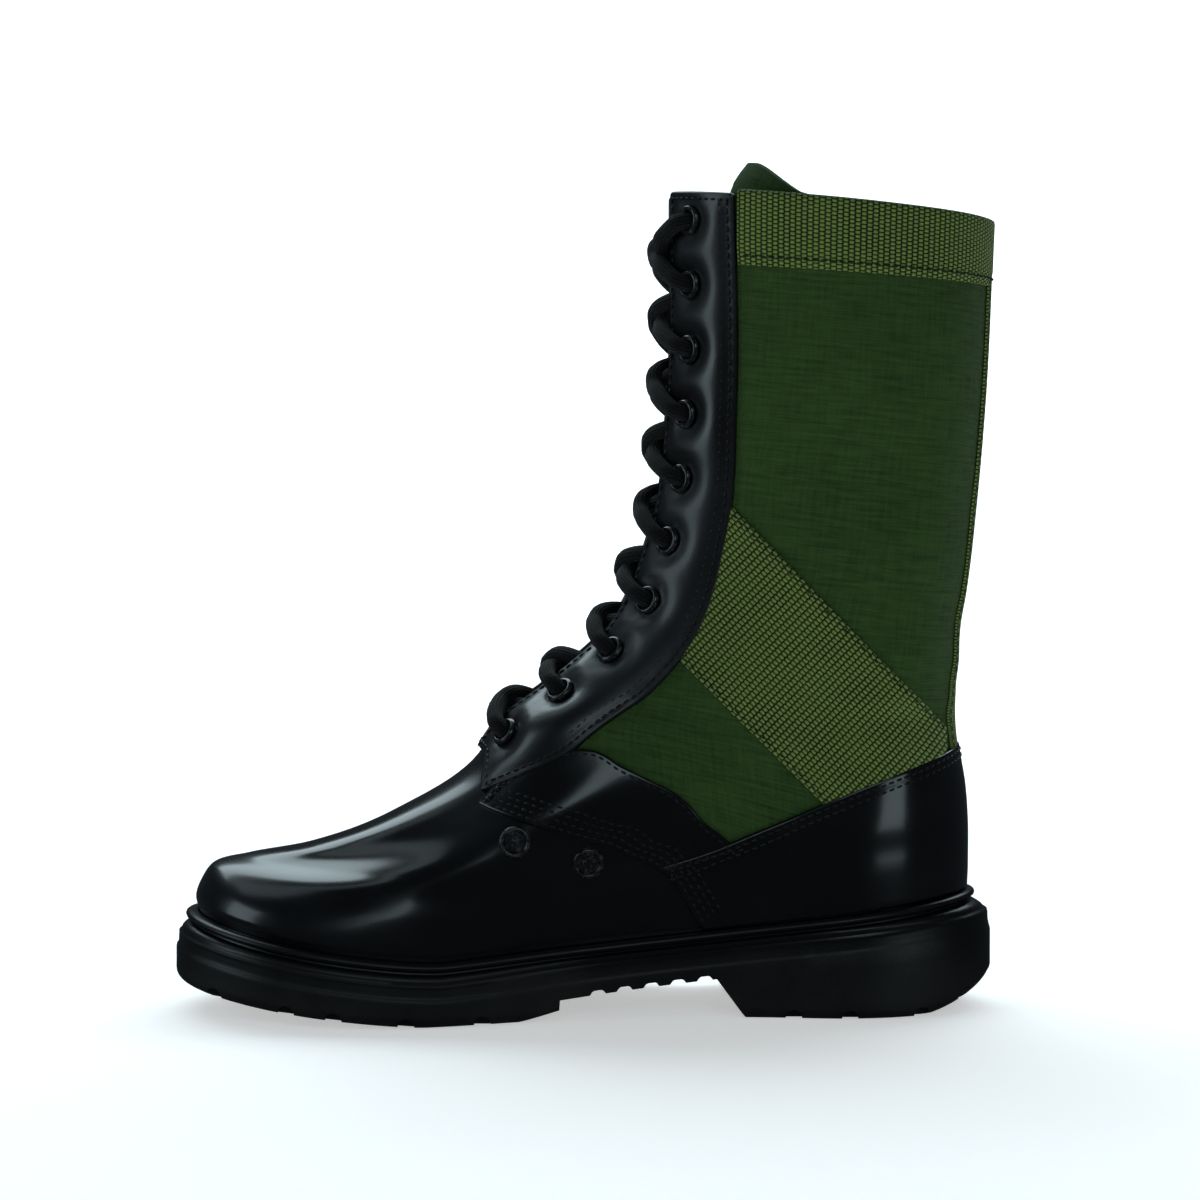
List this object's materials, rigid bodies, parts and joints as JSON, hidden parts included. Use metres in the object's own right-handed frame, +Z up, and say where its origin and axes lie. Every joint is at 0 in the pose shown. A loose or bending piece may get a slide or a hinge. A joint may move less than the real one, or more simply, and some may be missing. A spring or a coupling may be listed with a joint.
{
  "type": "jungle boot",
  "caption": "Right high-leg lace-up boot with a leather foot, a canvas and webbing leg, drain vents and a lugged rubber sole.",
  "frame": {"origin": "on the floor under the middle of the heel block, on the sole's flat heel face", "axes": "+Z up; the toe points along -X; the inner (medial) side faces -Y"},
  "size_m": [0.2974, 0.1099, 0.3053],
  "materials": {
    "leather": "polished black leather",
    "canvas": "fine olive green canvas, black leather on the foot",
    "webbing": "coarse olive green webbing",
    "rubber": "moulded black rubber",
    "insole": "dark textile",
    "enamel": "black enamel",
    "lace": "black braided cord"
  },
  "bodies": {
    "root": {"outsole": "rubber", "insole": "insole", "upper": "canvas", "tongue": "canvas", "counter": "leather", "collar_binding": "webbing", "back_stay": "webbing", "drain_vent_1": "enamel", "drain_vent_2": "enamel", "eyestay_inner": "leather", "quarter_inner": "leather", "side_webbing_inner": "webbing", "lace_end_inner": "lace", "eyelet_inner_01": "enamel", "eyelet_inner_02": "enamel", "eyelet_inner_03": "enamel", "eyelet_inner_04": "enamel", "eyelet_inner_05": "enamel", "eyelet_inner_06": "enamel", "eyelet_inner_07": "enamel", "eyelet_inner_08": "enamel", "eyelet_inner_09": "enamel", "eyelet_inner_10": "enamel", "eyestay_outer": "leather", "quarter_outer": "leather", "side_webbing_outer": "webbing", "lace_end_outer": "lace", "eyelet_outer_01": "enamel", "eyelet_outer_02": "enamel", "eyelet_outer_03": "enamel", "eyelet_outer_04": "enamel", "eyelet_outer_05": "enamel", "eyelet_outer_06": "enamel", "eyelet_outer_07": "enamel", "eyelet_outer_08": "enamel", "eyelet_outer_09": "enamel", "eyelet_outer_10": "enamel", "lace_crossing_1": "lace", "lace_crossing_2": "lace", "lace_crossing_3": "lace", "lace_crossing_4": "lace", "lace_crossing_5": "lace", "lace_crossing_6": "lace", "lace_crossing_7": "lace", "lace_crossing_8": "lace", "lace_crossing_9": "lace"}
  },
  "joints": []
}
